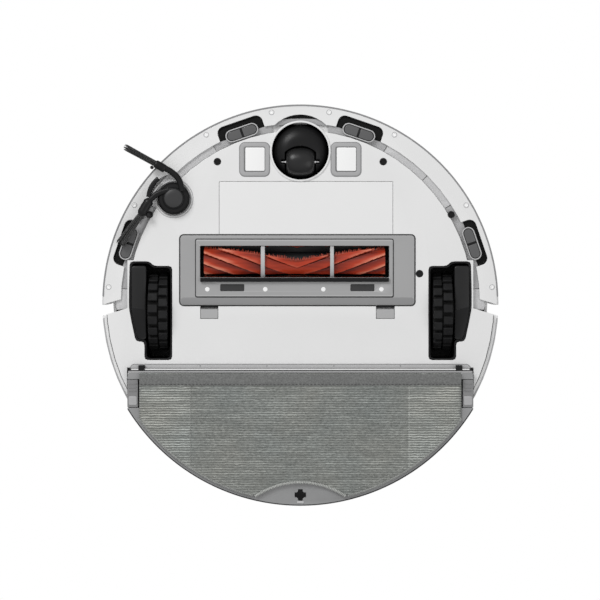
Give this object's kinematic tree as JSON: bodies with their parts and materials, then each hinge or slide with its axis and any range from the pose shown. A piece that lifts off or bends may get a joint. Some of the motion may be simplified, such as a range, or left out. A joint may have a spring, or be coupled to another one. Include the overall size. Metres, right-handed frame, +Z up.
{
  "type": "robot vacuum",
  "caption": "Round robot vacuum with a sprung bumper, drive wheels, roller brush, spinning side brush, laser turret and a clip-on wet mop tank.",
  "frame": {"origin": "on the floor, under the middle of the whole body", "axes": "+Z up; -Y is the front, with the bumper, and +Y the back, with the mop; +X is the right-hand side seen from below with the front up"},
  "size_m": [0.3456, 0.3494, 0.0965],
  "materials": {
    "white_shell": "satin moulded shell",
    "gray_plastic": "fine-grained moulding",
    "light_gray_plastic": "fine-grained moulding",
    "black_plastic": "fine-grained moulding",
    "gloss_black": "polished",
    "brush_orange": "nylon bristle and core",
    "bristle": "nylon bristle bundle",
    "rubber": "matt",
    "tyre": "matt, blocked tread",
    "steel": "ground",
    "smoke_plastic": "smoked, slightly see-through",
    "mop_cloth": "ribbed microfibre",
    "filter": "pleated",
    "board": "solder mask"
  },
  "bodies": {
    "body": {"chassis": "white_shell", "top_cover": "white_shell", "exhaust_grille": "gray_plastic", "battery_cover": "white_shell", "wheel_housing_left": "black_plastic", "wheel_housing_right": "black_plastic", "suspension_pin_left": "steel", "suspension_pin_right": "steel", "brush_chamber": "black_plastic", "brush_motor": "black_plastic", "side_brush_motor": "gray_plastic", "caster_cup": "black_plastic", "cliff_sensor_front_left": "gloss_black", "cliff_sensor_front_right": "gloss_black", "cliff_sensor_side_left": "gloss_black", "cliff_sensor_side_right": "gloss_black", "charge_contact_left": "steel", "charge_contact_right": "steel", "lidar_base": "black_plastic", "lidar_motor": "gray_plastic", "dust_bin": "smoke_plastic", "bin_cover": "black_plastic", "bin_filter": "filter", "suction_fan": "black_plastic", "battery_pack": "black_plastic", "circuit_board": "board"},
    "bumper": {"bumper": "white_shell", "bumper_window": "gloss_black"},
    "turret_cap": {"lidar_cap": "white_shell"},
    "turret_rotor": {"lidar_rotor": "gloss_black"},
    "power_button": {"power_button": "light_gray_plastic"},
    "dock_button": {"dock_button": "light_gray_plastic"},
    "bin_lid": {"bin_lid": "white_shell"},
    "caster_fork": {"caster_fork": "gloss_black", "caster_axle": "steel"},
    "caster_wheel": {"caster_wheel": "rubber"},
    "side_brush": {"side_brush": "black_plastic", "side_bristles_front": "bristle", "side_bristles_rear": "bristle"},
    "left_arm": {"swing_arm_left": "black_plastic", "drive_motor_left": "gray_plastic"},
    "right_arm": {"swing_arm_right": "black_plastic", "drive_motor_right": "gray_plastic"},
    "left_wheel": {"drive_hub_left": "black_plastic", "drive_tyre_left": "tyre"},
    "right_wheel": {"drive_hub_right": "black_plastic", "drive_tyre_right": "tyre"},
    "main_brush": {"brush_core": "brush_orange", "brush_fins": "brush_orange"},
    "brush_cover": {"brush_cover": "gray_plastic", "dirt_lip": "rubber"},
    "left_brush_latch": {"brush_latch_left": "light_gray_plastic"},
    "right_brush_latch": {"brush_latch_right": "light_gray_plastic"},
    "tank": {"water_tank": "smoke_plastic", "tank_plug": "rubber", "mop_cloth": "mop_cloth"},
    "left_tank_latch": {"tank_latch_left": "smoke_plastic"},
    "right_tank_latch": {"tank_latch_right": "smoke_plastic"}
  },
  "joints": [
    {"name": "bumper_press", "type": "slide", "parent": "body", "child": "bumper", "axis": [0, 1, 0], "range_m": [0, 0.003], "stiffness_N_per_m": 500, "springref_m": -0.002},
    {"name": "turret_cap_press", "type": "slide", "parent": "body", "child": "turret_cap", "axis": [0, 0, -1], "range_m": [0, 0.001], "stiffness_N_per_m": 3000, "springref_m": -0.0006},
    {"name": "turret_spin", "type": "hinge", "parent": "body", "child": "turret_rotor", "pos_m": [0, -0.058, 0], "axis": [0, 0, 1], "continuous": true},
    {"name": "power_press", "type": "slide", "parent": "body", "child": "power_button", "axis": [0, 0, -1], "range_m": [0, 0.0007], "stiffness_N_per_m": 2500, "springref_m": -0.0006},
    {"name": "dock_press", "type": "slide", "parent": "body", "child": "dock_button", "axis": [0, 0, -1], "range_m": [0, 0.0007], "stiffness_N_per_m": 2500, "springref_m": -0.0006},
    {"name": "lid_hinge", "type": "hinge", "parent": "body", "child": "bin_lid", "pos_m": [0, 0.0036, 0.0792], "axis": [1, 0, 0], "range_deg": [0, 80]},
    {"name": "caster_swivel", "type": "hinge", "parent": "body", "child": "caster_fork", "pos_m": [0, -0.1326, 0], "axis": [0, 0, 1], "continuous": true},
    {"name": "caster_roll", "type": "hinge", "parent": "caster_fork", "child": "caster_wheel", "pos_m": [0, -0.1234, 0.013], "axis": [1, 0, 0], "continuous": true},
    {"name": "side_brush_spin", "type": "hinge", "parent": "body", "child": "side_brush", "pos_m": [-0.1101, -0.0913, 0], "axis": [0, 0, 1], "continuous": true},
    {"name": "main_brush_spin", "type": "hinge", "parent": "body", "child": "main_brush", "pos_m": [0, -0.0366, 0.021], "axis": [1, 0, 0], "continuous": true},
    {"name": "suspension_left", "type": "hinge", "parent": "body", "child": "left_arm", "pos_m": [-0.14, -0.0235, 0.017], "axis": [-1, 0, 0], "range_deg": [0, 45], "stiffness_Nm_per_rad": 0.12, "springref_deg": 91.67},
    {"name": "wheel_spin_left", "type": "hinge", "parent": "left_arm", "child": "left_wheel", "pos_m": [-0.124, 0.007, 0.034], "axis": [1, 0, 0], "continuous": true},
    {"name": "suspension_right", "type": "hinge", "parent": "body", "child": "right_arm", "pos_m": [0.14, -0.0235, 0.017], "axis": [-1, 0, 0], "range_deg": [0, 45], "stiffness_Nm_per_rad": 0.12, "springref_deg": 91.67},
    {"name": "wheel_spin_right", "type": "hinge", "parent": "right_arm", "child": "right_wheel", "pos_m": [0.124, 0.007, 0.034], "axis": [1, 0, 0], "continuous": true},
    {"name": "brush_cover_drop", "type": "slide", "parent": "body", "child": "brush_cover", "axis": [0, 0, -1], "range_m": [0, 0.03]},
    {"name": "brush_latch_left_press", "type": "slide", "parent": "body", "child": "left_brush_latch", "axis": [0, -1, 0], "range_m": [0, 0.0025], "stiffness_N_per_m": 800, "springref_m": -0.001},
    {"name": "brush_latch_right_press", "type": "slide", "parent": "body", "child": "right_brush_latch", "axis": [0, -1, 0], "range_m": [0, 0.0025], "stiffness_N_per_m": 800, "springref_m": -0.001},
    {"name": "tank_pull", "type": "slide", "parent": "body", "child": "tank", "axis": [0, 1, 0], "range_m": [0, 0.125]},
    {"name": "tank_latch_left_press", "type": "slide", "parent": "tank", "child": "left_tank_latch", "axis": [1, 0, 0], "range_m": [0, 0.002], "stiffness_N_per_m": 1000, "springref_m": -0.001},
    {"name": "tank_latch_right_press", "type": "slide", "parent": "tank", "child": "right_tank_latch", "axis": [-1, 0, 0], "range_m": [0, 0.002], "stiffness_N_per_m": 1000, "springref_m": -0.001}
  ]
}
